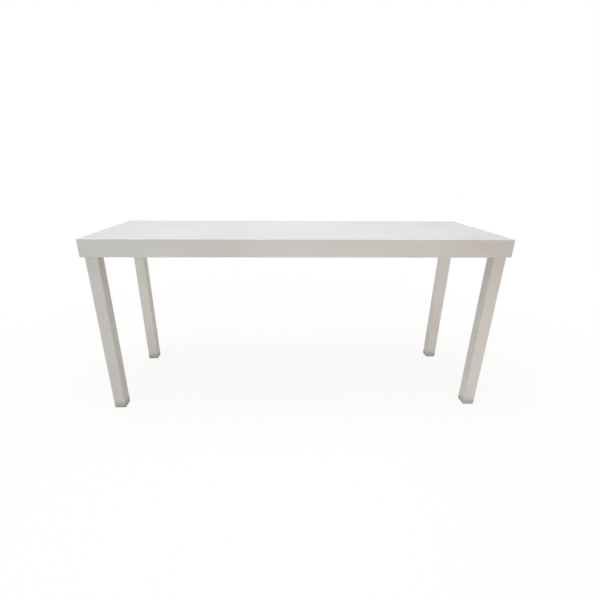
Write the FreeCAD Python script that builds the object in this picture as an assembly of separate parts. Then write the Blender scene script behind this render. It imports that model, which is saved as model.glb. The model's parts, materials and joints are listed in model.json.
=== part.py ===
import FreeCAD, Part
import math
import os

from FreeCAD import Placement, Rotation, Vector

# White bar table: a mitred box of boards under a board top, on four square legs bolted into its corners.
# Millimetres, +Z up. The origin is on the floor under the middle of the top, +X runs along the table
# and the front is at -Y. A corner's own frame starts where two aprons meet inside, and its +X and +Y run
# inwards along them. A side's own frame starts on the inner face of its apron, under the top, with +X
# along the apron and +Y inwards.

# Driving dimensions of the table
TABLE_LENGTH = 2400.0
TABLE_DEPTH = 750.0
TABLE_HEIGHT = 1100.0
SLAB_HEIGHT = 100.0
BOARD = 18.0
LEG = 70.0
TOP_EDGE_RADIUS = 3.0
APRON_EDGE_RADIUS = 2.0
ARRIS_RADIUS = 3.0

# Glides under the legs
GLIDE = 68.0
GLIDE_HEIGHT = 6.0
GLIDE_CHAMFER = 1.5
LEG_FOOT_CHAMFER = 1.5
GLIDE_SCREW_DIAMETER = 5.0
GLIDE_SCREW_LENGTH = 40.0
GLIDE_SCREW_RECESS = 1.5

# Corner joint: bracket, hanger bolts, washers and wing nuts
LEG_FLAT_CUT = 20.0
LEG_FLAT_BELOW_BRACKET = 6.0
DRAW_GAP = 12.0
STEEL = 2.0
BRACKET_HEIGHT = 62.0
BRACKET_BEND_RADIUS = 3.0
WING_LENGTH = 36.0
LIP_DEPTH = 7.0
FLANGE_DEPTH = 9.0
BEAD_LENGTH = 110.0
BEAD_RADIUS = 8.0
BEAD_RISE = 2.0
KERF_DEPTH = 9.0
KERF_ROOM = 0.4
BOLT_DIAMETER = 8.0
BOLT_IN_LEG = 42.0
BOLT_POINT = 7.0
BOLT_PAST_NUT = 6.0
BOLT_END_CHAMFER = 1.0
BOLT_SPACING = 32.0
BOLT_HOLE = 9.0
WASHER_DIAMETER = 20.0
WASHER_THICKNESS = 1.6
WASHER_ROOM = 0.2
NUT_BASE_RADIUS = 8.0
NUT_TOP_RADIUS = 6.5
NUT_HEIGHT = 10.0
NUT_WING_ROOT = 1.0
NUT_WING_THICKNESS = 3.0
NUT_WING_TIP_RADIUS = 4.5
NUT_WING_REACH = 18.0
NUT_WING_HEIGHT = 18.0
BRACKET_SCREW_DIAMETER = 4.5
BRACKET_SCREW_LENGTH = 14.0
BRACKET_SCREW_SPACING = 34.0
PAN_HEAD_RADIUS = 4.3
PAN_HEAD_HEIGHT = 2.7
PAN_HEAD_CROWN = 3.0

# Cross rails, battens and splines
RAIL_PLACES = {"left": -600.0, "middle": 0.0, "right": 600.0}
RAIL_HEIGHT = 64.0
RAIL_CHAMFER = 2.0
DOWEL_DIAMETER = 8.0
DOWEL_IN_APRON = 10.0
DOWEL_IN_RAIL = 20.0
DOWEL_CHAMFER = 1.0
DOWEL_FROM_EDGE = 16.0
BATTEN = 20.0
BATTEN_CHAMFER = 5.0
BATTEN_GAP = 5.0
BATTEN_FROM_BRACKET = 20.0
BATTEN_SCREW_DIAMETER = 4.0
BATTEN_SCREW_LENGTH = 30.0
BATTEN_SCREW_FROM_END = 50.0
LONGEST_BATTEN_WITH_TWO_SCREWS = 400.0
SPLINE_THICKNESS = 4.0
SPLINE_WIDTH = 13.0
SPLINE_FROM_EDGE = 4.0

# Worked out from the driving dimensions
TOP_UNDERSIDE = TABLE_HEIGHT - BOARD
APRON_BOTTOM = TABLE_HEIGHT - SLAB_HEIGHT
APRON_HEIGHT = TOP_UNDERSIDE - APRON_BOTTOM
INNER_X = TABLE_LENGTH / 2 - BOARD
INNER_Y = TABLE_DEPTH / 2 - BOARD
BRACKET_MIDDLE = (APRON_BOTTOM + TOP_UNDERSIDE) / 2
BRACKET_BOTTOM = BRACKET_MIDDLE - BRACKET_HEIGHT / 2
LEG_FLAT_BOTTOM = BRACKET_BOTTOM - LEG_FLAT_BELOW_BRACKET
FLAT_DISTANCE = (2 * LEG - LEG_FLAT_CUT) / math.sqrt(2)
WEB_DISTANCE = FLAT_DISTANCE + DRAW_GAP
WING_START = WEB_DISTANCE * math.sqrt(2)
LIP_PLACE = WING_START + WING_LENGTH
BOLT_LEVELS = (BRACKET_MIDDLE - BOLT_SPACING / 2, BRACKET_MIDDLE + BOLT_SPACING / 2)

CLOSE = 0.01
UP = Vector(0, 0, 1)
DIAGONAL = Vector(1, 1, 0).normalize()
CORNER_NAMES = ("front_left", "front_right", "back_right", "back_left")
CORNER_SIGNS = ((-1, -1), (1, -1), (1, 1), (-1, 1))
SIDE_NAMES = ("front", "right", "back", "left")


# Helpers

def placed(shape, placement):
    """The shape carried from its own frame by a placement."""
    return shape.transformed(placement.toMatrix())


def corner_placement(turn):
    """Carries a corner's own frame to corner number turn, counted anticlockwise from the front left."""
    sign_x, sign_y = CORNER_SIGNS[turn]
    return Placement(Vector(sign_x * INNER_X, sign_y * INNER_Y, 0), Rotation(UP, 90 * turn))


def side_placement(turn, along):
    """Carries a side's own frame to side number turn, shifted along the apron."""
    reach = INNER_Y if turn % 2 == 0 else INNER_X
    turned_about = Placement(Vector(), Rotation(UP, 90 * turn))
    return turned_about.multiply(Placement(Vector(along, -reach, TOP_UNDERSIDE), Rotation()))


def bolt_placement(level, distance):
    """In a corner's frame, a +Z that runs out of the leg along the diagonal, from a distance past its flat."""
    return Placement(DIAGONAL * (FLAT_DISTANCE + distance) + UP * level, Rotation(UP, DIAGONAL))


def prism(points, height):
    """Upright prism on a plane outline."""
    return Part.Face(Part.makePolygon(points + points[:1])).extrude(UP * height)


def turned_solid(profile):
    """Solid of revolution about +Z from a closed outline of (radius, height) points."""
    points = [Vector(radius, 0, height) for radius, height in profile]
    return Part.Face(Part.makePolygon(points + points[:1])).revolve(Vector(), UP, 360)


def upright_edges(shape):
    """The edges of a shape that run straight up."""
    return [edge for edge in shape.Edges if edge.BoundBox.DiagonalLength - edge.BoundBox.ZLength < CLOSE]


def edges_at(shape, level):
    """The edges of a shape that lie flat at one height."""
    return [edge for edge in shape.Edges
            if max(abs(edge.BoundBox.ZMin - level), abs(edge.BoundBox.ZMax - level)) < CLOSE]


def rounded_block(length, depth, height, radius):
    """Block about the Z axis, from z = 0 up, with its upright arrises rounded."""
    block = Part.makeBox(length, depth, height, Vector(-length / 2, -depth / 2, 0))
    return block.makeFillet(radius, upright_edges(block))


def rounded_path(points, radius):
    """Wire through the points, with each inner corner turned into a tangent arc."""
    edges = []
    start = points[0]
    for before, corner, after in zip(points, points[1:], points[2:]):
        back = (before - corner).normalize()
        ahead = (after - corner).normalize()
        half_angle = back.getAngle(ahead) / 2
        reach = radius / math.tan(half_angle)
        sagitta = radius / math.sin(half_angle) - radius
        arc_start = corner + back * reach
        arc_end = corner + ahead * reach
        edges.append(Part.makeLine(start, arc_start))
        edges.append(Part.Arc(arc_start, corner + (back + ahead).normalize() * sagitta, arc_end).toShape())
        start = arc_end
    edges.append(Part.makeLine(start, points[-1]))
    return Part.Wire(edges)


def countersunk_screw(diameter, length):
    """Screw that points up +Z, with its flat head at z = 0."""
    shank = diameter / 2
    return turned_solid([(0, 0), (diameter, 0), (shank, shank), (shank, length - diameter), (0, length)])


def pan_head_screw(diameter, length):
    """Screw that points down -Z, with its head standing on z = 0."""
    shank = diameter / 2
    return turned_solid([(0, -length), (shank, diameter - length), (shank, 0), (PAN_HEAD_RADIUS, 0),
                         (PAN_HEAD_RADIUS, PAN_HEAD_HEIGHT / 2), (PAN_HEAD_CROWN, PAN_HEAD_HEIGHT),
                         (0, PAN_HEAD_HEIGHT)])


# Top and aprons

def top_panel():
    """Board over the whole table, with its upper edges rounded over."""
    panel = rounded_block(TABLE_LENGTH, TABLE_DEPTH, BOARD, TOP_EDGE_RADIUS)
    panel = panel.makeFillet(TOP_EDGE_RADIUS, edges_at(panel, BOARD))
    return placed(panel, Placement(UP * TOP_UNDERSIDE, Rotation()))


def apron_ring():
    """The four aprons as one band under the top, before they are parted at the mitres."""
    band = rounded_block(TABLE_LENGTH, TABLE_DEPTH, APRON_HEIGHT, TOP_EDGE_RADIUS)
    band = band.makeFillet(APRON_EDGE_RADIUS, edges_at(band, 0))
    band = placed(band, Placement(UP * APRON_BOTTOM, Rotation()))
    room = Part.makeBox(2 * INNER_X, 2 * INNER_Y, APRON_HEIGHT, Vector(-INNER_X, -INNER_Y, APRON_BOTTOM))
    return band.cut(room)


def apron(turn, ring):
    """One side of the band, mitred at both ends, with a saw kerf across it for each bracket lip."""
    half_length = INNER_X if turn % 2 == 0 else INNER_Y
    outline = [Vector(-half_length, 0, 0), Vector(half_length, 0, 0),
               Vector(half_length + BOARD, -BOARD, 0), Vector(-half_length - BOARD, -BOARD, 0)]
    side = side_placement(turn, 0)
    piece = ring.common(placed(prism(outline, -APRON_HEIGHT), side))
    kerf_width = STEEL + 2 * KERF_ROOM
    for end in (-1, 1):
        middle = end * (half_length - LIP_PLACE - STEEL / 2)
        kerf = Part.makeBox(kerf_width, KERF_DEPTH, APRON_HEIGHT,
                            Vector(middle - kerf_width / 2, -KERF_DEPTH, -APRON_HEIGHT))
        piece = piece.cut(placed(kerf, side))
    return piece


def mitre_spline():
    """Loose tongue across the mitre, in a corner's frame."""
    height = APRON_HEIGHT - 2 * SPLINE_FROM_EDGE
    tongue = Part.makeBox(SPLINE_THICKNESS, SPLINE_WIDTH, height,
                          Vector(-SPLINE_THICKNESS / 2, -SPLINE_WIDTH / 2, 0))
    middle = Vector(-BOARD / 2, -BOARD / 2, APRON_BOTTOM + SPLINE_FROM_EDGE)
    return placed(tongue, Placement(middle, Rotation(UP, 45)))


# Rails and battens

def cross_rail(place):
    """Rail between the long aprons that keeps the top flat."""
    rail = Part.makeBox(BOARD, 2 * INNER_Y, RAIL_HEIGHT,
                        Vector(place - BOARD / 2, -INNER_Y, TOP_UNDERSIDE - RAIL_HEIGHT))
    low_edges = [edge for edge in edges_at(rail, TOP_UNDERSIDE - RAIL_HEIGHT) if edge.BoundBox.YLength > BOARD]
    return rail.makeChamfer(RAIL_CHAMFER, low_edges)


def rail_dowels(place):
    """Two dowels through each end of a cross rail into its aprons."""
    length = DOWEL_IN_APRON + DOWEL_IN_RAIL
    radius = DOWEL_DIAMETER / 2
    slim = radius - DOWEL_CHAMFER
    dowel = turned_solid([(0, 0), (slim, 0), (radius, DOWEL_CHAMFER), (radius, length - DOWEL_CHAMFER),
                          (slim, length), (0, length)])
    levels = (TOP_UNDERSIDE - RAIL_HEIGHT + DOWEL_FROM_EDGE, TOP_UNDERSIDE - DOWEL_FROM_EDGE)
    dowels = []
    for end in (-1, 1):
        outwards = Rotation(UP, Vector(0, end, 0))
        for level in levels:
            inner_end = Vector(place, end * (INNER_Y - DOWEL_IN_RAIL), level)
            dowels.append(placed(dowel, Placement(inner_end, outwards)))
    return dowels


def batten(length):
    """Square batten in a side's frame, tight under the top and against the apron, with its free arris cut off."""
    outline = [Vector(0, 0, 0), Vector(0, BATTEN, 0), Vector(0, BATTEN, BATTEN_CHAMFER - BATTEN),
               Vector(0, BATTEN - BATTEN_CHAMFER, -BATTEN), Vector(0, 0, -BATTEN)]
    face = Part.Face(Part.makePolygon(outline + outline[:1]))
    return face.extrude(Vector(length, 0, 0)).translated(Vector(-length / 2, 0, 0))


def batten_screws(length):
    """Screws up through a batten into the top, in a side's frame."""
    reach = length / 2 - BATTEN_SCREW_FROM_END
    places = (-reach, reach) if length < LONGEST_BATTEN_WITH_TWO_SCREWS else (-reach, 0, reach)
    screw = countersunk_screw(BATTEN_SCREW_DIAMETER, BATTEN_SCREW_LENGTH)
    return [screw.translated(Vector(place, BATTEN / 2, -BATTEN)) for place in places]


def batten_spans(turn):
    """Where the battens of one side start and end along its apron."""
    half_length = INNER_X if turn % 2 == 0 else INNER_Y
    limit = half_length - LIP_PLACE - BATTEN_FROM_BRACKET
    if turn % 2:
        return [(-limit, limit)]
    clearance = BOARD / 2 + BATTEN_GAP
    starts = [-limit] + [place + clearance for place in RAIL_PLACES.values()]
    ends = [place - clearance for place in RAIL_PLACES.values()] + [limit]
    return list(zip(starts, ends))


# Legs and glides

def leg():
    """Square leg in a corner's frame, with its inner arris cut to a flat where the bolts enter."""
    length = TOP_UNDERSIDE - GLIDE_HEIGHT
    post = rounded_block(LEG, LEG, length, ARRIS_RADIUS)
    post = post.makeChamfer(LEG_FOOT_CHAMFER, edges_at(post, 0))
    post = post.translated(Vector(LEG / 2, LEG / 2, GLIDE_HEIGHT))
    outside = LEG * 2
    run_out = LEG_FLAT_BOTTOM - (outside - FLAT_DISTANCE)
    across = Vector(1, -1, 0).normalize()
    outline = [DIAGONAL * FLAT_DISTANCE + UP * TOP_UNDERSIDE, DIAGONAL * outside + UP * TOP_UNDERSIDE,
               DIAGONAL * outside + UP * run_out, DIAGONAL * FLAT_DISTANCE + UP * LEG_FLAT_BOTTOM]
    outline = [point - across * LEG for point in outline]
    wedge = Part.Face(Part.makePolygon(outline + outline[:1])).extrude(across * 2 * LEG)
    return post.cut(wedge)


def glide():
    """Plastic pad under a leg, in a corner's frame, with its lower edge chamfered and its screw sunk."""
    pad = rounded_block(GLIDE, GLIDE, GLIDE_HEIGHT, ARRIS_RADIUS)
    pad = pad.makeChamfer(GLIDE_CHAMFER, edges_at(pad, 0))
    recess = Part.makeCylinder(GLIDE_SCREW_DIAMETER, GLIDE_SCREW_RECESS)
    return pad.cut(recess).translated(Vector(LEG / 2, LEG / 2, 0))


def glide_screw():
    """Screw up through a glide into the foot of a leg, in a corner's frame."""
    screw = countersunk_screw(GLIDE_SCREW_DIAMETER, GLIDE_SCREW_LENGTH)
    return screw.translated(Vector(LEG / 2, LEG / 2, GLIDE_SCREW_RECESS))


# Corner joint

def corner_bracket():
    """Pressed steel strip across a corner: a web for the bolts, wings on the aprons and lips in their kerfs.
    The web is stiffened by a flange along its foot and by a bead between the bolts."""
    apron_side = [Vector(LIP_PLACE, -LIP_DEPTH, 0), Vector(LIP_PLACE, 0, 0), Vector(WING_START, 0, 0),
                  Vector(0, WING_START, 0), Vector(0, LIP_PLACE, 0), Vector(-LIP_DEPTH, LIP_PLACE, 0)]
    path = rounded_path(apron_side, BRACKET_BEND_RADIUS)
    strip = path.makeOffset2D(STEEL, join=0, fill=True, openResult=True)
    bracket = strip.extrude(UP * BRACKET_HEIGHT).translated(UP * BRACKET_BOTTOM)
    holes = [placed(Part.makeCylinder(BOLT_HOLE / 2, 2 * DRAW_GAP), bolt_placement(level, 0))
             for level in BOLT_LEVELS]
    leg_side = Part.makeBox(BEAD_LENGTH * 2, BEAD_LENGTH * 2, BEAD_RADIUS * 2,
                            Vector(-BEAD_LENGTH, -BEAD_LENGTH, -BEAD_RADIUS * 2))
    bead = bead_bar(BEAD_RADIUS).cut(placed(leg_side, bolt_placement(BRACKET_MIDDLE, DRAW_GAP)))
    bracket = bracket.cut(holes).fuse([stiffening_flange(), bead])
    return bracket.cut(bead_bar(BEAD_RADIUS - STEEL)).removeSplitter()


def stiffening_flange():
    """Foot of the web turned back square, away from the leg, with its ends splayed."""
    across = Vector(-1, 1, 0).normalize()
    root = WEB_DISTANCE - FLANGE_DEPTH
    edge = root - FLANGE_DEPTH
    near = DIAGONAL * WEB_DISTANCE + UP * BRACKET_BOTTOM
    far = near + DIAGONAL * FLANGE_DEPTH
    return prism([near - across * root, far - across * edge, far + across * edge, near + across * root], STEEL)


def bead_bar(radius):
    """Round-ended bar of a radius along the middle of the web, sunk until a bead is left to stand out of it."""
    across = Vector(-1, 1, 0).normalize()
    depth = WEB_DISTANCE + STEEL + BEAD_RISE - BEAD_RADIUS
    start = DIAGONAL * depth - across * BEAD_LENGTH / 2 + UP * BRACKET_MIDDLE
    ends = [Part.makeSphere(radius, start), Part.makeSphere(radius, start + across * BEAD_LENGTH)]
    return Part.makeCylinder(radius, BEAD_LENGTH, start, across).fuse(ends)


def hanger_bolt():
    """Bolt with a screw point in the leg and a plain threaded end for the nut, along +Z from the leg's flat."""
    radius = BOLT_DIAMETER / 2
    past_flat = DRAW_GAP + STEEL + WASHER_THICKNESS + NUT_HEIGHT + BOLT_PAST_NUT
    return turned_solid([(0, -BOLT_IN_LEG), (radius, BOLT_POINT - BOLT_IN_LEG),
                         (radius, past_flat - BOLT_END_CHAMFER), (radius - BOLT_END_CHAMFER, past_flat),
                         (0, past_flat)])


def washer():
    """Flat washer on the web, with its lower face at z = 0."""
    outer = WASHER_DIAMETER / 2
    inner = BOLT_DIAMETER / 2 + WASHER_ROOM
    return turned_solid([(inner, 0), (outer, 0), (outer, WASHER_THICKNESS), (inner, WASHER_THICKNESS)])


def wing_nut():
    """Tapered hub with two upturned round-tipped wings, with its lower face at z = 0."""
    hub = turned_solid([(0, 0), (NUT_BASE_RADIUS, 0), (NUT_TOP_RADIUS, NUT_HEIGHT), (0, NUT_HEIGHT)])
    root = NUT_TOP_RADIUS - NUT_WING_ROOT
    tip = Vector(NUT_WING_REACH - NUT_WING_TIP_RADIUS, 0, NUT_WING_HEIGHT - NUT_WING_TIP_RADIUS)
    slant = NUT_WING_TIP_RADIUS / math.sqrt(2)
    low = tip + Vector(slant, 0, -slant)
    outermost = tip + Vector(slant, 0, slant)
    high = tip + Vector(-slant, 0, slant)
    foot = Vector(root, 0, NUT_WING_ROOT)
    neck = Vector(root, 0, NUT_HEIGHT - NUT_WING_ROOT)
    outline = Part.Wire([Part.makeLine(foot, low), Part.Arc(low, outermost, high).toShape(),
                         Part.makeLine(high, neck), Part.makeLine(neck, foot)])
    wing = Part.Face(outline).extrude(Vector(0, NUT_WING_THICKNESS, 0))
    wing = wing.translated(Vector(0, -NUT_WING_THICKNESS / 2, 0))
    other_wing = placed(wing, Placement(Vector(), Rotation(UP, 180)))
    bore = Part.makeCylinder(BOLT_DIAMETER / 2, NUT_HEIGHT)
    return hub.fuse([wing, other_wing]).cut(bore).removeSplitter()


def bracket_screws():
    """Two screws through each wing of a bracket into the aprons, in a corner's frame."""
    screw = pan_head_screw(BRACKET_SCREW_DIAMETER, BRACKET_SCREW_LENGTH)
    along = WING_START + WING_LENGTH / 2
    screws = []
    for level in (BRACKET_MIDDLE - BRACKET_SCREW_SPACING / 2, BRACKET_MIDDLE + BRACKET_SCREW_SPACING / 2):
        on_wing = Placement(Vector(along, STEEL, level), Rotation(UP, Vector(0, 1, 0)))
        on_other_wing = Placement(Vector(STEEL, along, level), Rotation(UP, Vector(1, 0, 0)))
        screws.append(placed(screw, on_wing))
        screws.append(placed(screw, on_other_wing))
    return screws


def corner_fastenings(thing, distance):
    """A copy of a bolt, washer or nut at each bolt level, in a corner's frame."""
    return [placed(thing, bolt_placement(level, distance)) for level in BOLT_LEVELS]


# Assembly

def in_all_corners(shapes):
    """Copies of corner shapes in the four corners, as one list."""
    return [placed(shape, corner_placement(turn)) for turn in range(4) for shape in shapes]


def build():
    """Every node of the table, by name."""
    nodes = {}
    bolts = in_all_corners(corner_fastenings(hanger_bolt(), 0))
    washers = in_all_corners(corner_fastenings(washer(), DRAW_GAP + STEEL))
    nuts = in_all_corners(corner_fastenings(wing_nut(), DRAW_GAP + STEEL + WASHER_THICKNESS))
    plate_screws = in_all_corners(bracket_screws())
    foot_screws = in_all_corners([glide_screw()])
    splines = in_all_corners([mitre_spline()])
    brackets = in_all_corners([corner_bracket().cut(bracket_screws())])
    dowels = [dowel for place in RAIL_PLACES.values() for dowel in rail_dowels(place)]

    top_screws = []
    for turn, side in enumerate(SIDE_NAMES):
        spans = batten_spans(turn)
        for number, (start, end) in enumerate(spans, 1):
            name = f"{side}_batten_{number}" if len(spans) > 1 else f"{side}_batten"
            where = side_placement(turn, (start + end) / 2)
            screws = batten_screws(end - start)
            nodes[name] = placed(batten(end - start).cut(screws), where)
            top_screws += [placed(screw, where) for screw in screws]

    nodes["top_panel"] = top_panel().cut(top_screws)
    ring = apron_ring()
    for turn, side in enumerate(SIDE_NAMES):
        nodes[f"{side}_apron"] = apron(turn, ring).cut(splines + dowels + plate_screws + brackets)
    for name, place in RAIL_PLACES.items():
        nodes[f"{name}_rail"] = cross_rail(place).cut(dowels)
    for turn, corner in enumerate(CORNER_NAMES):
        where = corner_placement(turn)
        nodes[f"{corner}_leg"] = placed(leg(), where).cut(bolts + foot_screws)
        nodes[f"{corner}_glide"] = placed(glide(), where).cut(foot_screws)
        nodes[f"{corner}_bracket"] = brackets[turn]

    groups = {"hanger_bolts": bolts, "washers": washers, "wing_nuts": nuts, "bracket_screws": plate_screws,
              "glide_screws": foot_screws, "batten_screws": top_screws, "rail_dowels": dowels,
              "mitre_splines": splines}
    for name, solids in groups.items():
        nodes[name] = Part.makeCompound(solids)
    return nodes


os.makedirs("parts", exist_ok=True)
for name, shape in build().items():
    shape.exportStep(f"parts/{name}.step")
    print(f"{name}: {len(shape.Solids)} solids, {shape.Volume / 1000:.1f} cm3, valid {shape.isValid()}")
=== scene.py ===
import json
import math

import bpy
import numpy as np
from mathutils import Matrix, Vector


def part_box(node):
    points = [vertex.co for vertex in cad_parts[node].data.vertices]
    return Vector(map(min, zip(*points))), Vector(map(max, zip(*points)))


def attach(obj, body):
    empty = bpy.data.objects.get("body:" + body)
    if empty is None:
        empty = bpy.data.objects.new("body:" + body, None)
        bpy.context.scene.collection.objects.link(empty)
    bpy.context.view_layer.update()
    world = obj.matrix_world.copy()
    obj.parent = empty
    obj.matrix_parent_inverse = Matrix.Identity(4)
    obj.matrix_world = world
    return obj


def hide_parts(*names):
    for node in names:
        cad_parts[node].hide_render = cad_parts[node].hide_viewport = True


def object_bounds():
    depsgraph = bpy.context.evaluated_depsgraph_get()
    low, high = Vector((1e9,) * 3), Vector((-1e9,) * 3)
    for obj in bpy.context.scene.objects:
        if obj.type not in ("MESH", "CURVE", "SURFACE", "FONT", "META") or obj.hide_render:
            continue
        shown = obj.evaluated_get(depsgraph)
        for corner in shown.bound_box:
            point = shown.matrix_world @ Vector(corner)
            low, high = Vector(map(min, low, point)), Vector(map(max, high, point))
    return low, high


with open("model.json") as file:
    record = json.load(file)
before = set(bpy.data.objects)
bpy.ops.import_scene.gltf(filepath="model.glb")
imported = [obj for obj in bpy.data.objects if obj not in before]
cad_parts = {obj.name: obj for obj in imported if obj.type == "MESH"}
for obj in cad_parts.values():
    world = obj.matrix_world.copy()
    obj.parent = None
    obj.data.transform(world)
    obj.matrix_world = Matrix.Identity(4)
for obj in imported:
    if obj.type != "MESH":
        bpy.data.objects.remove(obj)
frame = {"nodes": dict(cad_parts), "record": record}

cad_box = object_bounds()
MM = 0.001

# Sizes of the table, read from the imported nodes
HALF_LENGTH, HALF_DEPTH, TABLE_HEIGHT = cad_box[1]
UNDER_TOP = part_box("top_panel")[0][2]
UNDER_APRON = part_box("front_apron")[0][2]
SLAB = TABLE_HEIGHT - UNDER_APRON
BOARD = TABLE_HEIGHT - UNDER_TOP
INNER_X = HALF_LENGTH - BOARD
INNER_Y = HALF_DEPTH - BOARD
LEG_LOW, LEG_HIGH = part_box("front_right_leg")
LEG = LEG_HIGH[0] - LEG_LOW[0]
LEG_X = LEG_HIGH[0] - LEG / 2
LEG_Y = -LEG_LOW[1] - LEG / 2
FOOT = LEG_LOW[2]
BRACKET_LOW, BRACKET_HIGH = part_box("front_left_bracket")
BRACKET_MIDDLE = (BRACKET_LOW[2] + BRACKET_HIGH[2]) / 2

# Corner joint
STEEL = 2 * MM
LEG_FLAT_CUT = 20 * MM
DRAW_GAP = 12 * MM
WING_LENGTH = 36 * MM
WASHER_THICKNESS = 1.6 * MM
FLAT_DISTANCE = (2 * LEG - LEG_FLAT_CUT) / math.sqrt(2)
WING_START = (FLAT_DISTANCE + DRAW_GAP) * math.sqrt(2)
NUT_SEAT = DRAW_GAP + STEEL + WASHER_THICKNESS
CORNERS = ((-1, -1), (1, -1), (1, 1), (-1, 1))
UP = Vector((0, 0, 1))
DIAGONAL = Vector((1, 1, 0)).normalized()
UPSIDE_DOWN = Matrix.Rotation(math.pi, 4, "X")

# Hanger bolts
BOLT_RADIUS = 4 * MM
BOLT_IN_LEG = 42 * MM
BOLT_PAST_FLAT = 31.6 * MM
BOLT_POINT = 7 * MM
BOLT_BLUNT_SHARE = 0.05
BOLT_END_CHAMFER = 1 * MM
BOLT_SPACING = 32 * MM
PLAIN_SHANK = (-5 * MM, 1.5 * MM)
THREAD_RUN_OUT = 2 * MM
WOOD_PITCH = 3.5 * MM
WOOD_DEPTH = 1.2 * MM
WOOD_CREST_POWER = 3
MACHINE_PITCH = 1.25 * MM
MACHINE_DEPTH = 0.7 * MM
MACHINE_CREST_POWER = 1
BOLT_STEP = 0.2 * MM
BOLT_COLUMNS = 24

# Wing nuts
NUT_HEIGHT = 10 * MM
NUT_BASE_RADIUS = 8 * MM
NUT_TOP_RADIUS = 6.5 * MM
NUT_ROUNDING = 1.2 * MM
NUT_HUB_ROWS = 14
NUT_ROUNDING_ROWS = 6
NUT_HUB_COLUMNS = 40
NUT_WING_FOOT = Vector((4 * MM, 0, 5 * MM))
NUT_WING_TIP = Vector((13.5 * MM, 0, 13.5 * MM))
NUT_WING_TIP_RADIUS = 4.5 * MM
NUT_WING_TIP_SHARE = 0.995
NUT_WING_WAIST = 3.6 * MM
NUT_WING_THICKNESS = (2.3 * MM, 1.4 * MM)
NUT_WING_SQUARE_POWER = 0.7
NUT_WING_ROWS = 14
NUT_WING_TIP_ROWS = 9
NUT_WING_COLUMNS = 20

# Screws, each kind with the radius and length of its shank
BRACKET_SCREW = (2.25 * MM, 14 * MM)
BRACKET_SCREW_SPACING = 34 * MM
BATTEN_SCREW = (2 * MM, 30 * MM)
BATTEN_SCREW_FROM_END = 50 * MM
LONGEST_BATTEN_WITH_TWO_SCREWS = 400 * MM
GLIDE_SCREW = (2.5 * MM, 40 * MM)
GLIDE_SCREW_RECESS = 1.5 * MM
PAN_HEAD_RADIUS = 4.3 * MM
PAN_HEAD_HEIGHT = 2.7 * MM
PAN_HEAD_RADIUS_POWER = 0.6
PAN_HEAD_HEIGHT_POWER = 1.2
PAN_HEAD_ROWS = 8
FLAT_HEAD_EDGE = (0.1 * MM, 0.15 * MM)
SCREW_NECK = 0.3 * MM

# Shank of a screw, in shares of its radius
SCREW_PITCH = 0.8
SCREW_CORE = 0.7
SCREW_POINT = 3
SCREW_BLUNT_SHARE = 0.06
SCREW_CREST_POWER = 2
SCREW_ROWS_PER_PITCH = 5
SCREW_COLUMNS = 32

# Crown and cross recess of a screw, in shares of the head's radius
CROWN_DROP = 0.25
CROWN_CURVE = 0.4
CROWN_MIDDLE = 0.03
CROWN_ROWS = 14
CROSS_ARM = 0.13
CROSS_WALL_START = 1.5
CROSS_REACH = 0.75
CROSS_RAMP_START = 1.15
CROSS_DEPTH = 0.55

# Edges of a piece flatter than this are smooth
SMOOTH_EDGE = math.radians(35)

# Camera of the photograph
CAMERA_PLACE = (-0.0991, -2.3096, 1.4563)
CAMERA_PITCH_DOWN = math.radians(21.010)
CAMERA_HEADING = math.radians(-1.615)
CAMERA_ROLL = math.radians(0.408)
SENSOR_WIDTH = 36.0
FOCAL_LENGTH = 21.319
CAMERA_SHIFT = (0.0158, 0.0098)

# Soft boxes: place, aim, width and height, angle of the hood or grid, watts and colour
OPEN_BOX = math.radians(180)
HOODED_BOX = math.radians(70)
GRIDDED_BOX = math.radians(35)
SKY_WHITE = (0.82, 0.903, 1.0)
COOL_WHITE = (0.82, 0.92, 1.0)
DAY_WHITE = (0.95, 0.975, 1.0)
NEAR_WHITE = (1.0, 0.97, 0.94)
AMBER = (1.0, 0.5, 0.2)
SOFT_BOXES = {
    "overhead_box": ((-0.2, -0.3, 3.6), (-0.2, -0.2, 1.1), (3.2, 1.8), OPEN_BOX, 46.0, SKY_WHITE),
    "left_box": ((-2.8, -4.2, 1.1), (0.0, 0.0, 0.8), (2.0, 1.6), OPEN_BOX, 26.6, COOL_WHITE),
    "right_box": ((2.8, -3.8, 1.0), (1.0, -0.375, 0.9), (0.7, 0.9), GRIDDED_BOX, 0.26, AMBER),
    "low_right_box": ((-0.6, -3.8, 0.25), (1.1, 0.1, 0.25), (0.9, 0.4), GRIDDED_BOX, 0.99, NEAR_WHITE),
    "low_middle_box": ((0.0, -4.4, 0.3), (0.0, 0.4, 0.45), (1.6, 0.4), GRIDDED_BOX, 1.06, NEAR_WHITE),
    "back_left_leg_box": ((-0.95, -0.21, 0.54), (-1.12, 0.287, 0.54), (0.06, 0.88), HOODED_BOX, 0.12,
                          NEAR_WHITE),
    "back_right_leg_box": ((0.7, 0.03, 0.66), (1.112, 0.287, 0.66), (0.06, 0.68), HOODED_BOX, 0.10,
                           NEAR_WHITE),
    "back_box": ((0.0, 4.2, 0.7), (0.0, 0.0, 0.7), (3.0, 0.7), OPEN_BOX, 12.6, DAY_WHITE),
}

# World and floor
WORLD_LIGHT = (0.484, 0.449, 0.408, 1.0)
WHITE = (1.0, 1.0, 1.0, 1.0)
FLOOR_HALF_WIDTH = 60.0
FLOOR_COLOUR = (0.72, 0.70, 0.67, 1.0)
FLOOR_GLOW = 0.86
FLOOR_SHADE = (0.19, 0.19, 0.19, 1.0)
SHADOW_REACH = (1.2, 3.2)

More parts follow.
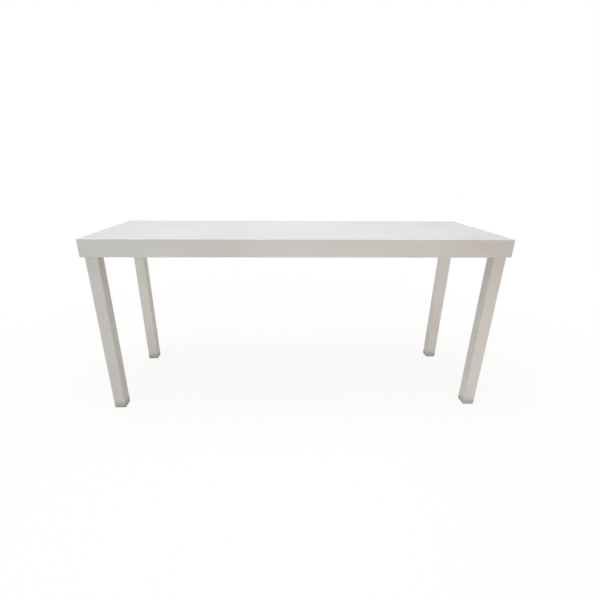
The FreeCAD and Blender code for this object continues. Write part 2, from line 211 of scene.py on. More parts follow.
# Colours, linear
PAINT_CLEAN = (0.80, 0.795, 0.78, 1.0)
PAINT_AGED = (0.765, 0.752, 0.725, 1.0)
PAINT_THIN = (0.64, 0.60, 0.54, 1.0)
DARK_GREY = (0.365, 0.360, 0.365, 1.0)
SCUFF = (0.22, 0.20, 0.18, 1.0)
PRIMER = (0.66, 0.63, 0.58, 1.0)
BARE_BOARD = (0.47, 0.36, 0.25, 1.0)
PINE_PALE = (0.68, 0.53, 0.35, 1.0)
PINE_DARK = (0.50, 0.33, 0.17, 1.0)
PINE_KNOT = (0.22, 0.10, 0.04, 1.0)
ZINC = (0.70, 0.71, 0.73, 1.0)
ZINC_DULL = (0.54, 0.54, 0.54, 1.0)
GLIDE_GREY = (0.34, 0.335, 0.325, 1.0)
GLIDE_WORN = (0.46, 0.45, 0.43, 1.0)

# Spans: nearly all of a noise value, the middle of it, and a share that fades out
WHOLE_NOISE = (0.3, 0.8)
MIDDLE_NOISE = (0.35, 0.75)
FADING = (1.0, 0.0)

# Paint film: marks in a metre, heights of the relief, distances of the wear from an edge, and dullness
PAINT_DRIFTS = 1.7
PAINT_SMUDGES = 9.0
PAINT_WAVES = 14.0
PAINT_PEEL = 330.0
WAVE_HEIGHT = 0.3 * MM
PEEL_HEIGHT = 0.012 * MM
EDGE_PATCHES = 13.0
EDGE_CHIPS = 95.0
RUBBED_WIDTH = (0.5 * MM, 5 * MM)
CHIPPED_WIDTH = (1 * MM, 4 * MM)
CHALKY_ROUGHNESS = 0.3

# Paint of the slab: roughness, marks in a metre along each axis, and the seam under the top board
SLAB_ROUGHNESS = (0.33, 0.48)
WIPE_MARKS = (1.3, 26.0, 26.0)
BRUSH_STROKES = (1.1, 24.0, 24.0)
BARE_SHARE = (0.04, 0.42)
SCRATCHES = (9.0, 420.0, 420.0)
SCRATCH_TURNS = (0.3, 1.4, 2.5)
SEAM_WIDTH = 0.9 * MM
SEAM_DEPTH = 0.15 * MM
INSIDE_MARGIN = 0.5 * MM

# Paint of the legs: roughness, marks in a metre along each axis, and heights of the wear and of the darkening
# painted at the foot
LEG_ROUGHNESS = (0.36, 0.50)
LEG_STREAKS = (60.0, 60.0, 1.6)
SHOE_MARKS = (16.0, 16.0, 130.0)
SHOE_MARK_TURN = (0.35, 0.25, 0.0)
SHOE_MARK_HEIGHT = (120 * MM, 450 * MM)
DARKENING_TATTERS = 28.0
DARKENING_TATTER_HEIGHT = 30 * MM
DARKENING_HEIGHT = (-10 * MM, 48 * MM)
DARKENING_SHARE = 0.74
DARKENING_SPOTS = 150.0
SPOT_SHARE = (0.55, 1.25)

# Pine: roughness, and marks in a metre across and along the grain
PINE_ROUGHNESS = (0.52, 0.74)
GROWTH_RINGS = 170.0
RING_TILT = 1.7
RING_WANDERS = 22.0
RING_WANDER_COUNT = 9.0
RING_STRETCH = (1.0, 0.06)
LATE_WOOD_SHARE = 0.55
PINE_FIBRES = (700.0, 14.0)
PINE_KNOTS = (26.0, 7.0)
FIBRE_HEIGHT = 0.04 * MM

# Zinc plate: roughness and marks in a metre
ZINC_ROUGHNESS = (0.24, 0.44)
ZINC_CLOUDS = 60.0
ZINC_CRYSTALS = 260.0
CRYSTAL_ROUGHNESS = 0.08
DRAWING_LINES = (40.0, 40.0, 1500.0)
DRAWING_DEPTH = 0.008 * MM

# Plastic of the glides: roughness and marks in a metre
GLIDE_ROUGHNESS = (0.5, 0.8)
GLIDE_SCRAPES = (30.0, 160.0, 160.0)
GLIDE_PEBBLES = 900.0
SCRAPE_DEPTH = 0.1 * MM
PEBBLE_HEIGHT = 0.02 * MM

# Sockets of a colour mix by number, because their names repeat
MIX_SHARE = 0
MIX_FIRST = 6
MIX_SECOND = 7
MIX_RESULT = 2


# Node helpers

def add(tree, kind, inputs=None, **settings):
    """A new node with its settings made and its inputs linked or set, by name or by number."""
    made = tree.nodes.new(kind)
    for key, value in settings.items():
        setattr(made, key, value)
    for key, value in (inputs or {}).items():
        if isinstance(value, bpy.types.NodeSocket):
            tree.links.new(value, made.inputs[key])
        else:
            made.inputs[key].default_value = value
    return made


def empty_material(name):
    """A material and its node tree, with nothing in it."""
    material = bpy.data.materials.new(name)
    material.use_nodes = True
    material.node_tree.nodes.clear()
    return material, material.node_tree


def object_place(tree):
    """The object's own coordinates, in metres."""
    return add(tree, "ShaderNodeTexCoord").outputs["Object"]


def new_material(name):
    """A material with a principled shader, and the tree, the shader and the object coordinates in it."""
    material, tree = empty_material(name)
    shader = add(tree, "ShaderNodeBsdfPrincipled")
    add(tree, "ShaderNodeOutputMaterial", {"Surface": shader.outputs[0]})
    return material, tree, shader, object_place(tree)


def stretched(tree, place, scale, turn=(0.0, 0.0, 0.0)):
    """Coordinates turned, then scaled differently along each axis."""
    rotated = add(tree, "ShaderNodeMapping", {"Vector": place, "Rotation": turn}).outputs[0]
    return add(tree, "ShaderNodeMapping", {"Vector": rotated, "Scale": scale}).outputs[0]


def noise(tree, place, scale=1.0, detail=2.0, roughness=0.5, distortion=0.0):
    """Noise value from 0 to 1 with about scale features in a unit of length."""
    settings = {"Vector": place, "Scale": scale, "Detail": detail, "Roughness": roughness,
                "Distortion": distortion}
    return add(tree, "ShaderNodeTexNoise", settings).outputs[0]


def ranged(tree, value, span, result=(0.0, 1.0)):
    """Value carried smoothly from one span of numbers to another."""
    settings = {"Value": value, "From Min": span[0], "From Max": span[1],
                "To Min": result[0], "To Max": result[1]}
    return add(tree, "ShaderNodeMapRange", settings, interpolation_type="SMOOTHSTEP").outputs[0]


def rising(tree, value, start, full, most=1.0):
    """Share that rises smoothly from none, where a value is at its start, to the most, where it is full."""
    return ranged(tree, value, (start, full), (0.0, most))


def arithmetic(tree, operation, first, second=0.0):
    """One or two values put through one operation."""
    return add(tree, "ShaderNodeMath", {0: first, 1: second}, operation=operation).outputs[0]


def plus(tree, first, second):
    """Sum of two values."""
    return arithmetic(tree, "ADD", first, second)


def minus(tree, first, second):
    """First value less the second."""
    return arithmetic(tree, "SUBTRACT", first, second)


def times(tree, first, second):
    """Product of two values."""
    return arithmetic(tree, "MULTIPLY", first, second)


def larger(tree, first, second):
    """The larger of two values."""
    return arithmetic(tree, "MAXIMUM", first, second)


def unsigned(tree, value):
    """A value without its sign."""
    return arithmetic(tree, "ABSOLUTE", value)


def mixed(tree, share, first, second):
    """Colour that goes from first to second as share goes from 0 to 1."""
    inputs = {MIX_SHARE: share, MIX_FIRST: first, MIX_SECOND: second}
    return add(tree, "ShaderNodeMix", inputs, data_type="RGBA").outputs[MIX_RESULT]


def blended(tree, share, first, second):
    """Shader that goes from first to second as share goes from 0 to 1."""
    return add(tree, "ShaderNodeMixShader", {0: share, 1: first, 2: second}).outputs[0]


def axes(tree, place):
    """The three coordinates as separate values."""
    return add(tree, "ShaderNodeSeparateXYZ", {"Vector": place}).outputs


def from_middle(tree, value, middle):
    """Distance of a value from plus or minus a middle value."""
    return unsigned(tree, minus(tree, unsigned(tree, value), middle))


def to_edge(tree, distances):
    """Distance to the nearest edge from a point on a block, given its distances to the block's pairs of
    faces: their sum less the largest one, because one of them is zero on the surface."""
    total = distances[0]
    largest = distances[0]
    for distance in distances[1:]:
        total = plus(tree, total, distance)
        largest = larger(tree, largest, distance)
    return minus(tree, total, largest)


def bumped(tree, shader, heights):
    """Chains bumps of (height, distance in metres) into the shader's normal."""
    normal = None
    for height, distance in heights:
        inputs = {"Height": height, "Distance": distance, "Strength": 1.0}
        if normal is not None:
            inputs["Normal"] = normal
        normal = add(tree, "ShaderNodeBump", inputs).outputs[0]
    tree.links.new(normal, shader.inputs["Normal"])


def coated(tree, shader, tone, roughness):
    """Gives the shader its colour and its roughness."""
    tree.links.new(tone, shader.inputs["Base Color"])
    tree.links.new(roughness, shader.inputs["Roughness"])


# Finishes

def paint_ground(tree, place):
    """Tone of sprayed white paint that drifts slowly and holds faint smudges, and the smudges' own value."""
    drift = noise(tree, place, PAINT_DRIFTS, detail=3.0)
    smudge = noise(tree, place, PAINT_SMUDGES, detail=5.0, roughness=0.6, distortion=0.8)
    tone = mixed(tree, ranged(tree, drift, MIDDLE_NOISE), PAINT_CLEAN, PAINT_AGED)
    tone = mixed(tree, rising(tree, smudge, start=0.55, full=0.85, most=0.07), tone, DARK_GREY)
    return tone, smudge


def rubbed_edges(tree, place, tone, edge):
    """Paint rubbed thin in patches along the edges, down to the board in a few small chips."""
    patch = noise(tree, place, EDGE_PATCHES, detail=4.0, roughness=0.6)
    patch = rising(tree, patch, start=0.50, full=0.66, most=0.55)
    thin = times(tree, ranged(tree, edge, RUBBED_WIDTH, FADING), patch)
    chip = noise(tree, place, EDGE_CHIPS, detail=2.0)
    chip = rising(tree, chip, start=0.70, full=0.74)
    bare = times(tree, ranged(tree, edge, CHIPPED_WIDTH, FADING), chip)
    return mixed(tree, bare, mixed(tree, thin, tone, PAINT_THIN), BARE_BOARD)


def paint_relief(tree, shader, place, seam=None):
    """Orange peel and slow waves of a paint film, over a seam that shows through."""
    waves = noise(tree, place, PAINT_WAVES, detail=2.0)
    peel = noise(tree, place, PAINT_PEEL, detail=1.0)
    heights = [(waves, WAVE_HEIGHT), (peel, PEEL_HEIGHT)]
    if seam is not None:
        heights.append((seam, SEAM_DEPTH))
    bumped(tree, shader, heights)


def slab_distances(tree, place):
    """Distances inwards from the slab's ends, from its long sides and from its upper and lower faces."""
    x, y, z = axes(tree, place)
    from_ends = minus(tree, HALF_LENGTH, unsigned(tree, x))
    from_sides = minus(tree, HALF_DEPTH, unsigned(tree, y))
    from_faces = minus(tree, SLAB / 2, from_middle(tree, z, TABLE_HEIGHT - SLAB / 2))
    return from_ends, from_sides, from_faces


def inside_slab(tree, height, from_ends, from_sides):
    """One on the faces that look into the frame of aprons, and zero outside it."""
    past_ends = arithmetic(tree, "GREATER_THAN", from_ends, BOARD - INSIDE_MARGIN)
    past_sides = arithmetic(tree, "GREATER_THAN", from_sides, BOARD - INSIDE_MARGIN)
    below_top = arithmetic(tree, "LESS_THAN", height, UNDER_TOP + INSIDE_MARGIN)
    return times(tree, times(tree, past_ends, past_sides), below_top)


def thin_primer(tree, place):
    """Primer brushed so thinly that the board shows through in streaks."""
    stroke = noise(tree, stretched(tree, place, BRUSH_STROKES), detail=5.0, roughness=0.6)
    return mixed(tree, ranged(tree, stroke, MIDDLE_NOISE, BARE_SHARE), PRIMER, BARE_BOARD)


def scratched(tree, place, roughness):
    """Roughness raised along fine straight scratches in a few directions."""
    for turn in SCRATCH_TURNS:
        lines = stretched(tree, place, SCRATCHES, (0.0, 0.0, turn))
        scratch = noise(tree, lines, detail=1.0)
        roughness = plus(tree, roughness, rising(tree, scratch, start=0.66, full=0.74, most=0.12))
    return roughness


def slab_paint():
    """White paint of the top and aprons: wipe marks and fine scratches outside, thin primer inside."""
    material, tree, shader, place = new_material("slab_paint")
    tone, smudge = paint_ground(tree, place)
    wipe = noise(tree, stretched(tree, place, WIPE_MARKS), detail=3.0)
    tone = mixed(tree, rising(tree, wipe, start=0.5, full=0.8, most=0.10), tone, PAINT_THIN)
    from_ends, from_sides, from_faces = slab_distances(tree, place)
    tone = rubbed_edges(tree, place, tone, to_edge(tree, (from_ends, from_sides, from_faces)))
    height = axes(tree, place)[2]
    inside = inside_slab(tree, height, from_ends, from_sides)
    tone = mixed(tree, inside, tone, thin_primer(tree, place))
    roughness = scratched(tree, place, ranged(tree, smudge, WHOLE_NOISE, SLAB_ROUGHNESS))
    roughness = plus(tree, roughness, times(tree, inside, CHALKY_ROUGHNESS))
    coated(tree, shader, tone, roughness)
    seam = rising(tree, from_middle(tree, height, UNDER_TOP), start=0.0, full=SEAM_WIDTH)
    paint_relief(tree, shader, place, seam)
    return material


def leg_distances(tree, place):
    """Distances inwards from a leg's left and right faces, its front and back faces and its foot."""
    x, y, z = axes(tree, place)
    from_ends = minus(tree, LEG / 2, from_middle(tree, x, LEG_X))
    from_sides = minus(tree, LEG / 2, from_middle(tree, y, LEG_Y))
    return from_ends, from_sides, minus(tree, z, FOOT)


def shoe_marks(tree, place):
    """Share of dark slanting scuffs, which fade out above the height of a shoe."""
    marks = noise(tree, stretched(tree, place, SHOE_MARKS, SHOE_MARK_TURN), detail=2.0)
    marks = rising(tree, marks, start=0.67, full=0.76, most=0.22)
    return times(tree, marks, ranged(tree, axes(tree, place)[2], SHOE_MARK_HEIGHT, FADING))


def foot_darkening(tree, place):
    """Share of darker colour painted at the foot, which fades upwards to a tattered edge and is broken up in
    fine spots.
    """
    tatters = noise(tree, place, DARKENING_TATTERS, detail=5.0, roughness=0.65)
    height = minus(tree, axes(tree, place)[2], times(tree, tatters, DARKENING_TATTER_HEIGHT))
    darkening = ranged(tree, height, DARKENING_HEIGHT, (DARKENING_SHARE, 0.0))
    spotting = noise(tree, place, DARKENING_SPOTS, detail=6.0, roughness=0.7)
    return times(tree, darkening, ranged(tree, spotting, (0.35, 0.65), SPOT_SHARE))


def leg_paint():
    """White paint of the legs: upright streaks, scuffs at shoe height and a foot painted darker towards the
    bottom.
    """
    material, tree, shader, place = new_material("leg_paint")
    tone, smudge = paint_ground(tree, place)
    streak = noise(tree, stretched(tree, place, LEG_STREAKS), detail=3.0)
    tone = mixed(tree, rising(tree, streak, start=0.45, full=0.8, most=0.14), tone, PAINT_THIN)
    tone = rubbed_edges(tree, place, tone, to_edge(tree, leg_distances(tree, place)))
    tone = mixed(tree, shoe_marks(tree, place), tone, SCUFF)
    # The foot is painted darker towards the bottom, in a ragged band.
    darkening = foot_darkening(tree, place)
    tone = mixed(tree, darkening, tone, DARK_GREY)
    roughness = ranged(tree, smudge, WHOLE_NOISE, LEG_ROUGHNESS)
    roughness = plus(tree, roughness, times(tree, darkening, CHALKY_ROUGHNESS))
    coated(tree, shader, tone, roughness)
    paint_relief(tree, shader, place)
    return material


def with_grain(tree, place, scales, along):
    """Coordinates scaled across the grain and along it, given the number of the grain's axis."""
    across_grain, along_grain = scales
    scale = [across_grain, across_grain, across_grain]
    scale[along] = along_grain
    return stretched(tree, place, scale)


def growth_rings(tree, place, along):
    """Darkness of growth rings that wander along the grain, each rising to its late wood and then ending."""
    grain = with_grain(tree, place, RING_STRETCH, along)
    wander = noise(tree, grain, RING_WANDERS, detail=3.0, roughness=0.45)
    across = axes(tree, grain)
    depth = plus(tree, across[1 - along], times(tree, across[2], RING_TILT))
    rings = plus(tree, times(tree, depth, GROWTH_RINGS), times(tree, wander, RING_WANDER_COUNT))
    return rising(tree, arithmetic(tree, "FRACT", rings), start=0.35, full=0.97)


def bare_pine(name, along):
    """Planed pine with growth rings, fine fibres and a few knots. along is the number of the grain's axis."""
    material, tree, shader, place = new_material(name)
    late_wood = growth_rings(tree, place, along)
    fibre = noise(tree, with_grain(tree, place, PINE_FIBRES, along), detail=3.0)
    knot = noise(tree, with_grain(tree, place, PINE_KNOTS, along), detail=1.0)
    tone = mixed(tree, times(tree, late_wood, LATE_WOOD_SHARE), PINE_PALE, PINE_DARK)
    tone = mixed(tree, rising(tree, fibre, start=0.4, full=0.8, most=0.30), tone, PINE_DARK)
    tone = mixed(tree, rising(tree, knot, start=0.74, full=0.82, most=0.8), tone, PINE_KNOT)
    coated(tree, shader, tone, ranged(tree, fibre, (0.2, 0.8), PINE_ROUGHNESS))
    bumped(tree, shader, [(fibre, FIBRE_HEIGHT)])
    return material


def zinc_plate():
    """Bright zinc plate with dull, slightly clouded patches, small crystals and fine drawing lines."""
    material, tree, shader, place = new_material("zinc_plate")
    shader.inputs["Metallic"].default_value = 1.0
    cloud = noise(tree, place, ZINC_CLOUDS, detail=4.0, roughness=0.6)
    crystals = add(tree, "ShaderNodeTexVoronoi", {"Vector": place, "Scale": ZINC_CRYSTALS}, feature="F1")
    crystal = axes(tree, crystals.outputs["Color"])[0]
    tone = mixed(tree, ranged(tree, cloud, MIDDLE_NOISE), ZINC, ZINC_DULL)
    roughness = ranged(tree, cloud, WHOLE_NOISE, ZINC_ROUGHNESS)
    coated(tree, shader, tone, plus(tree, roughness, times(tree, crystal, CRYSTAL_ROUGHNESS)))
    line = noise(tree, stretched(tree, place, DRAWING_LINES), detail=2.0)
    bumped(tree, shader, [(line, DRAWING_DEPTH)])
    return material


def glide_plastic():
    """Grey moulded plastic, scraped paler where it slides."""
    material, tree, shader, place = new_material("glide_plastic")
    scrape = noise(tree, stretched(tree, place, GLIDE_SCRAPES), detail=4.0, roughness=0.7)
    pebble = noise(tree, place, GLIDE_PEBBLES, detail=1.0)
    tone = mixed(tree, rising(tree, scrape, start=0.45, full=0.75), GLIDE_GREY, GLIDE_WORN)
    coated(tree, shader, tone, ranged(tree, scrape, WHOLE_NOISE, GLIDE_ROUGHNESS))
    bumped(tree, shader, [(scrape, SCRAPE_DEPTH), (pebble, PEBBLE_HEIGHT)])
    return material


def dress(material, nodes):
    """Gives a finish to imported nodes."""
    for name in nodes:
        piece = frame["nodes"][name]
        piece.data.materials.clear()
        piece.data.materials.append(material)


def dress_table():
    """Each node gets the finish of its kind. Returns the zinc plate, which the fasteners share."""
    by_slot = {}
    for row in frame["record"]["subparts"]:
        by_slot.setdefault(row["material_slot"], []).append(row["node"])
    legs = [name for name in by_slot["white_paint"] if name.endswith("_leg")]
    slab = [name for name in by_slot["white_paint"] if name not in legs]
    lengthwise = [name for name in by_slot["bare_pine"] if name.startswith(("front_", "back_"))]
    across = [name for name in by_slot["bare_pine"] if name not in lengthwise]
    zinc = zinc_plate()
    dress(leg_paint(), legs)
    dress(slab_paint(), slab)
    dress(bare_pine("pine_lengthwise", 0), lengthwise)
    dress(bare_pine("pine_across", 1), across)
    dress(zinc, by_slot["zinc_steel"])
    dress(glide_plastic(), by_slot["grey_plastic"])
    return zinc


# Surfaces

def ring_faces(rows, columns, closed):
    """Quads between neighbouring rings of a grid, and its first and last ring as caps unless it is closed."""
    row = np.arange(rows if closed else rows - 1)[:, None]
    column = np.arange(columns)[None, :]
    after = (column + 1) % columns
    here = row * columns
    above = (row + 1) % rows * columns
    corners = np.broadcast_arrays(here + column, here + after, above + after, above + column)
    quads = np.stack(corners, axis=-1).reshape(-1, 4)
    ring = np.arange(columns)
    caps = np.stack((ring[::-1], ring + (rows - 1) * columns))
    return quads, caps[:0] if closed else caps


def in_scene(name, data):
    """A new object in the scene, at the origin."""
    made = bpy.data.objects.new(name, data)
    bpy.context.scene.collection.objects.link(made)
    return made


def make_piece(name, surfaces, placements, material, node):
    """A piece made of copies of some closed surfaces, one at each placement. It stands for a node of
    fasteners."""
    points = []
    faces = []
    count = 0
    for placement in placements:
        turn = np.array(placement.to_3x3())
        shift = np.array(placement.translation)
        for grid, closed in surfaces:
            rows, columns = grid.shape[:2]
            points.append(grid.reshape(-1, 3) @ turn.T + shift)
            quads, caps = ring_faces(rows, columns, closed)
            faces += (quads + count).tolist() + (caps + count).tolist()
            count += rows * columns
    mesh = bpy.data.meshes.new(name)
    mesh.from_pydata(np.concatenate(points).tolist(), [], faces)
    mesh.shade_smooth()
    mesh.set_sharp_from_angle(angle=SMOOTH_EDGE)
    mesh.materials.append(material)
    piece = in_scene(name, mesh)
    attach(piece, "root")
    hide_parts(node)


def around(columns):
    """Angles round the axis, as one row."""
    return np.linspace(0, 2 * np.pi, columns, endpoint=False)[None, :]


def turned(radius, height, turn):
    """Grid of points at a radius, height and angle, each given on the grid or along one side of it."""
    radius, height, turn = np.broadcast_arrays(radius, height, turn)
    return np.stack((radius * np.cos(turn), radius * np.sin(turn), height), axis=-1)


def ringed(parts, columns):
    """Parts of a profile one after another, each spread over a full row of columns."""
    return np.concatenate([np.broadcast_to(part, (len(part), columns)) for part in parts])


def thread(along, turn, pitch, crest_power):
    """Height of a thread, from 0 in the groove to 1 on the crest: a triangle wave of the distance along the
    axis less the share of a turn, counted in pitches, raised to a power that narrows the crest."""
    share = np.mod(along / pitch - turn / (2 * np.pi), 1.0)
    return (1 - np.abs(2 * share - 1)) ** crest_power


# Fasteners

def bolt_surface():
    """Hanger bolt along +Z from the leg's flat: a cylinder, less the depth of a wood thread below the flat
    and of a machine thread above it. The threads fade out at the plain shank, and the radius is kept within
    a cone at the point and a chamfer at the end."""
    turn = around(BOLT_COLUMNS)
    rows = int(round((BOLT_IN_LEG + BOLT_PAST_FLAT) / BOLT_STEP))
    along = np.linspace(-BOLT_IN_LEG, BOLT_PAST_FLAT, rows)[:, None]
    wood_groove = WOOD_DEPTH * (1 - thread(along, turn, WOOD_PITCH, WOOD_CREST_POWER))
    machine_groove = MACHINE_DEPTH * (1 - thread(along, turn, MACHINE_PITCH, MACHINE_CREST_POWER))
    groove = np.where(along < 0, wood_groove, machine_groove)
    from_shank = np.maximum(PLAIN_SHANK[0] - along, along - PLAIN_SHANK[1])
    radius = BOLT_RADIUS - groove * np.clip(from_shank / THREAD_RUN_OUT, 0, 1)
    point = BOLT_RADIUS * np.clip((along + BOLT_IN_LEG) / BOLT_POINT, BOLT_BLUNT_SHARE, 1)
    end = BOLT_RADIUS - np.clip(along - BOLT_PAST_FLAT + BOLT_END_CHAMFER, 0, BOLT_END_CHAMFER)
    return turned(np.minimum(radius, np.minimum(point, end)), along, turn)


def nut_hub_surface():
    """Hub of a wing nut: up its outside the radius falls from the base to the top along half a cosine wave
    and rounds over as a quarter circle, and a bore leads down again."""
    rise = np.linspace(0, 1, NUT_HUB_ROWS)
    outside = NUT_TOP_RADIUS + (NUT_BASE_RADIUS - NUT_TOP_RADIUS) * (1 + np.cos(np.pi * rise)) / 2
    outside_height = rise * (NUT_HEIGHT - NUT_ROUNDING)
    over = np.linspace(0, np.pi / 2, NUT_ROUNDING_ROWS)[1:]
    top = NUT_TOP_RADIUS - NUT_ROUNDING * (1 - np.cos(over))
    top_height = NUT_HEIGHT - NUT_ROUNDING * (1 - np.sin(over))
    radius = np.concatenate(([BOLT_RADIUS], outside, top, [BOLT_RADIUS]))
    height = np.concatenate(([0.0], outside_height, top_height, [NUT_HEIGHT]))
    return turned(radius[:, None], height[:, None], around(NUT_HUB_COLUMNS))


def squared_off(wave):
    """Cosine or sine raised to a power below one, with its sign kept, which squares off a round section."""
    return np.sign(wave) * np.abs(wave) ** NUT_WING_SQUARE_POWER


def nut_wing_surface(side):
    """Wing of a nut on one side: a squared-off flat section carried along a straight line from the hub to the
    middle of the tip and on to its end. It narrows to a waist along half a sine wave, thins evenly and closes
    as a half circle at the tip."""
    line = NUT_WING_TIP - NUT_WING_FOOT
    reach = line.length
    ahead = np.array(line.normalized())
    across = np.array((ahead[2], 0.0, -ahead[0]))
    straight = np.linspace(0, reach, NUT_WING_ROWS)
    past = NUT_WING_TIP_RADIUS * np.sin(np.linspace(0, np.pi / 2, NUT_WING_TIP_ROWS)[1:-1])
    last = reach + NUT_WING_TIP_SHARE * NUT_WING_TIP_RADIUS
    travel = np.concatenate((straight, reach + past, [last]))[:, None]
    share = np.clip(travel / reach, 0, 1)
    width = NUT_WING_TIP_RADIUS - (NUT_WING_TIP_RADIUS - NUT_WING_WAIST) * np.sin(np.pi * share)
    closing = np.sqrt(1 - np.clip((travel - reach) / NUT_WING_TIP_RADIUS, 0, 1) ** 2)
    root, tip = NUT_WING_THICKNESS
    thickness = (root + (tip - root) * share) * np.sqrt(closing)
    turn = around(NUT_WING_COLUMNS)
    wide = squared_off(np.cos(turn)) * width * closing
    thick = squared_off(np.sin(turn)) * thickness
    points = np.array(NUT_WING_FOOT) + travel[..., None] * ahead
    points = points + wide[..., None] * across + thick[..., None] * np.array((0.0, 1.0, 0.0))
    return points * np.array((side, side, 1.0))


def screw_crown(edge, top, turn):
    """Crown of a screw's head as radii and heights, from beside its edge to the middle: a shallow dome, sunk
    along two crossing arms with sloped walls, on a floor that ramps down to the middle."""
    radius = edge * np.linspace(1, CROWN_MIDDLE, CROWN_ROWS)[1:, None]
    dome = top - CROWN_DROP * edge * (1 - np.sqrt(1 - CROWN_CURVE * (radius / edge) ** 2))
    from_arm = radius * np.minimum(np.abs(np.cos(turn)), np.abs(np.sin(turn)))
    arm = np.clip(CROSS_WALL_START - from_arm / (CROSS_ARM * edge), 0, 1)
    ramp = np.clip(CROSS_RAMP_START - radius / (CROSS_REACH * edge), 0, 1)
    return radius, dome - CROSS_DEPTH * edge * ramp * arm


def screw_surface(size, head_radius, head_height):
    """Wood screw that points down with its head on top: a core with a narrow thread that tapers to a point, a
    head given as radii and heights from the shank to its edge, and a crown with a cross recess."""
    shank, length = size
    pitch = SCREW_PITCH * shank
    turn = around(SCREW_COLUMNS)
    rows = int(length / pitch * SCREW_ROWS_PER_PITCH)
    along = np.linspace(-length, min(head_height[0], 0) - SCREW_NECK, rows)[:, None]
    taper = np.clip((along + length) / (SCREW_POINT * shank), SCREW_BLUNT_SHARE, 1)
    ridge = SCREW_CORE + (1 - SCREW_CORE) * thread(along, turn, pitch, SCREW_CREST_POWER)
    crown_radius, crown_height = screw_crown(head_radius[-1], head_height[-1], turn)
    radius = ringed((shank * ridge * taper, head_radius[:, None], crown_radius), SCREW_COLUMNS)
    height = ringed((along, head_height[:, None], crown_height), SCREW_COLUMNS)
    return turned(radius, height, turn)


def pan_head_screw():
    """Screw with a rounded head: the head's edge follows a quarter turn, with its radius a power of the
    cosine and its height a power of the sine, and stops short of the middle, where the crown takes over."""
    rise = np.linspace(0, np.pi / 2, PAN_HEAD_ROWS)[:-2]
    radius = PAN_HEAD_RADIUS * np.cos(rise) ** PAN_HEAD_RADIUS_POWER
    height = PAN_HEAD_HEIGHT * np.sin(rise) ** PAN_HEAD_HEIGHT_POWER
    shank = BRACKET_SCREW[0]
    return screw_surface(BRACKET_SCREW, np.concatenate(([shank], radius)), np.concatenate(([0.0], height)))


def countersunk_screw(size):
    """Screw with a flat head: a straight cone from the shank to a head twice as wide, flush on top, with its
    sharp edge taken off."""
    shank = size[0]
    head = 2 * shank
    edge_width, edge_height = FLAT_HEAD_EDGE
    radius = np.array((shank, head - edge_width, head))
    return screw_surface(size, radius, np.array((-shank, -edge_height, 0.0)))


def facing(direction):
    """Turn that carries +Z to a direction."""
    return UP.rotation_difference(direction).to_matrix().to_4x4()


def corner_frames():
    """Frames of the four corners: the origin where two aprons meet inside, +X and +Y inwards along them."""
    frames = []
    for quarter, (sign_x, sign_y) in enumerate(CORNERS):
        corner = Matrix.Translation((sign_x * INNER_X, sign_y * INNER_Y, 0))
        frames.append(corner @ Matrix.Rotation(quarter * math.pi / 2, 4, "Z"))
    return frames


def bracket_levels(spacing):
    """Heights of two fasteners, below and above the middle of a bracket."""
    return BRACKET_MIDDLE - spacing / 2, BRACKET_MIDDLE + spacing / 2


def bolt_places(distance):
    """Placements along the bolts, a distance past the flat of each leg."""
    out = DIAGONAL * (FLAT_DISTANCE + distance)
    return [corner @ Matrix.Translation(out + UP * level) @ facing(DIAGONAL)
            for corner in corner_frames() for level in bracket_levels(BOLT_SPACING)]


def bracket_screw_places():
    """Placements of two screws on each wing of each bracket."""
    along = WING_START + WING_LENGTH / 2
    wings = ((Vector((along, STEEL, 0)), Vector((0, 1, 0))),
             (Vector((STEEL, along, 0)), Vector((1, 0, 0))))
    return [corner @ Matrix.Translation(place + UP * level) @ facing(outwards)
            for corner in corner_frames() for level in bracket_levels(BRACKET_SCREW_SPACING)
            for place, outwards in wings]


def batten_screw_places():
    """Placements of the screws that point up through the battens."""
    places = []
    for name in frame["nodes"]:
        if "_batten" not in name:
            continue
        low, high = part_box(name)
        middle = (low + high) / 2
        size = high - low
        run = Vector((1, 0, 0)) if size[0] > size[1] else Vector((0, 1, 0))
        length = max(size[0], size[1])
        reach = length / 2 - BATTEN_SCREW_FROM_END
        steps = (-reach, reach) if length < LONGEST_BATTEN_WITH_TWO_SCREWS else (-reach, 0, reach)
        foot = Vector((middle[0], middle[1], low[2]))
        places += [Matrix.Translation(foot + run * step) @ UPSIDE_DOWN for step in steps]
    return places


def glide_screw_places():
    """Placements of the screws that point up through the glides."""
    return [Matrix.Translation((sign_x * LEG_X, sign_y * LEG_Y, GLIDE_SCREW_RECESS)) @ UPSIDE_DOWN
            for sign_x, sign_y in CORNERS]


def fit_fasteners(zinc):
    """Threaded bolts, cast nuts and recessed screws in place of the plain solids."""
    bolt = [(bolt_surface(), False)]
    nut = [(nut_hub_surface(), True), (nut_wing_surface(1), False), (nut_wing_surface(-1), False)]
    pan_head = [(pan_head_screw(), False)]
    flat_head = [(countersunk_screw(BATTEN_SCREW), False)]
    foot_screw = [(countersunk_screw(GLIDE_SCREW), False)]
    make_piece("threaded_bolts", bolt, bolt_places(0), zinc, "hanger_bolts")
    make_piece("cast_wing_nuts", nut, bolt_places(NUT_SEAT), zinc, "wing_nuts")
    make_piece("pan_head_screws", pan_head, bracket_screw_places(), zinc, "bracket_screws")
    make_piece("flat_head_screws", flat_head, batten_screw_places(), zinc, "batten_screws")
    make_piece("foot_screws", foot_screw, glide_screw_places(), zinc, "glide_screws")


# Studio

def seen_directly(tree):
    """One where a ray comes from the camera, a reflection or a pane, and zero for light that is bounced."""
    path = add(tree, "ShaderNodeLightPath").outputs
    mirrored = larger(tree, path["Is Glossy Ray"], path["Is Transmission Ray"])
    return larger(tree, path["Is Camera Ray"], mirrored)


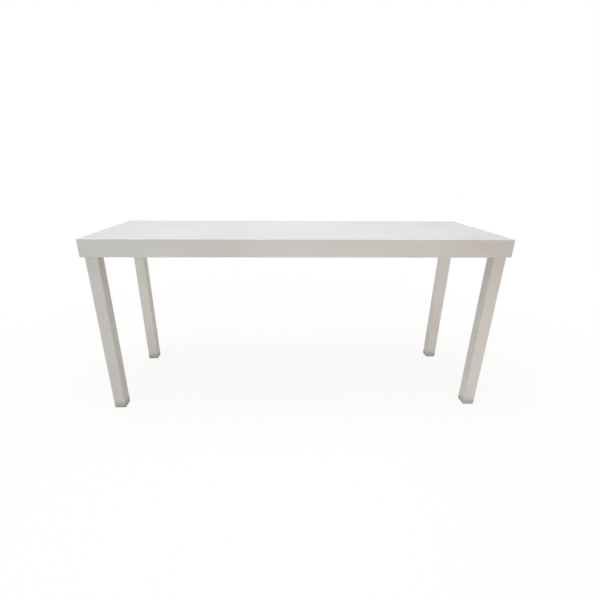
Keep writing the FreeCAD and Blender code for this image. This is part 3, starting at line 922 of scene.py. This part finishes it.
def floor_paper():
    """Paper that glows almost white near the table, with room for its shadow, and is plain white further out.
    It is pale to bounced light and clear from below."""
    material, tree = empty_material("floor_paper")
    distance = add(tree, "ShaderNodeVectorMath", {0: object_place(tree)}, operation="LENGTH").outputs["Value"]
    paper = add(tree, "ShaderNodeBsdfDiffuse", {"Color": FLOOR_COLOUR}).outputs[0]
    white = add(tree, "ShaderNodeEmission", {"Strength": 1.0}).outputs[0]
    glow = add(tree, "ShaderNodeEmission", {"Strength": FLOOR_GLOW}).outputs[0]
    shade = add(tree, "ShaderNodeBsdfDiffuse", {"Color": FLOOR_SHADE}).outputs[0]
    near = add(tree, "ShaderNodeAddShader", {0: glow, 1: shade}).outputs[0]
    shown = blended(tree, ranged(tree, distance, SHADOW_REACH), near, white)
    above = blended(tree, seen_directly(tree), paper, shown)
    clear = add(tree, "ShaderNodeBsdfTransparent").outputs[0]
    underneath = add(tree, "ShaderNodeNewGeometry").outputs["Backfacing"]
    add(tree, "ShaderNodeOutputMaterial", {"Surface": blended(tree, underneath, above, clear)})
    return material


def pale_floor():
    """Wide level floor of paper under the table."""
    corners = np.column_stack((CORNERS, np.zeros(len(CORNERS)))) * FLOOR_HALF_WIDTH
    mesh = bpy.data.meshes.new("floor")
    mesh.from_pydata(corners.tolist(), [], [(0, 1, 2, 3)])
    mesh.materials.append(floor_paper())
    floor = in_scene("floor", mesh)


def soft_world():
    """Even light from all round, in front of a backdrop that reads as white."""
    world = bpy.data.worlds.new("studio")
    bpy.context.scene.world = world
    world.use_nodes = True
    tree = world.node_tree
    tree.nodes.clear()
    light = add(tree, "ShaderNodeBackground", {"Color": WORLD_LIGHT, "Strength": 1.0}).outputs[0]
    backdrop = add(tree, "ShaderNodeBackground", {"Color": WHITE, "Strength": 1.0}).outputs[0]
    add(tree, "ShaderNodeOutputWorld", {"Surface": blended(tree, seen_directly(tree), light, backdrop)})


def soft_boxes():
    """Soft lamps round the table and low under it, hidden from the camera. Hoods and grids narrow some."""
    for name, (place, aim, size, spread, power, colour) in SOFT_BOXES.items():
        lamp = bpy.data.lights.new(name, "AREA")
        lamp.shape = "RECTANGLE"
        lamp.size, lamp.size_y = size
        lamp.spread = spread
        lamp.energy = power
        lamp.color = colour
        box = in_scene(name, lamp)
        turn = (Vector(aim) - Vector(place)).to_track_quat("-Z", "Y")
        box.matrix_world = Matrix.Translation(place) @ turn.to_matrix().to_4x4()
        box.visible_camera = False


def photo_camera():
    """Camera where the photograph was taken from."""
    lens = bpy.data.cameras.new("photo_camera")
    lens.sensor_fit = "HORIZONTAL"
    lens.sensor_width = SENSOR_WIDTH
    lens.lens = FOCAL_LENGTH
    lens.shift_x, lens.shift_y = CAMERA_SHIFT
    camera = in_scene("photo_camera", lens)
    turn = Matrix.Rotation(CAMERA_HEADING, 4, "Z")
    turn = turn @ Matrix.Rotation(math.pi / 2 - CAMERA_PITCH_DOWN, 4, "X")
    turn = turn @ Matrix.Rotation(CAMERA_ROLL, 4, "Z")
    camera.matrix_world = Matrix.Translation(CAMERA_PLACE) @ turn
    bpy.context.scene.camera = camera


zinc = dress_table()
fit_fasteners(zinc)
pale_floor()
soft_world()
soft_boxes()
photo_camera()
bpy.context.scene.view_settings.view_transform = "Standard"
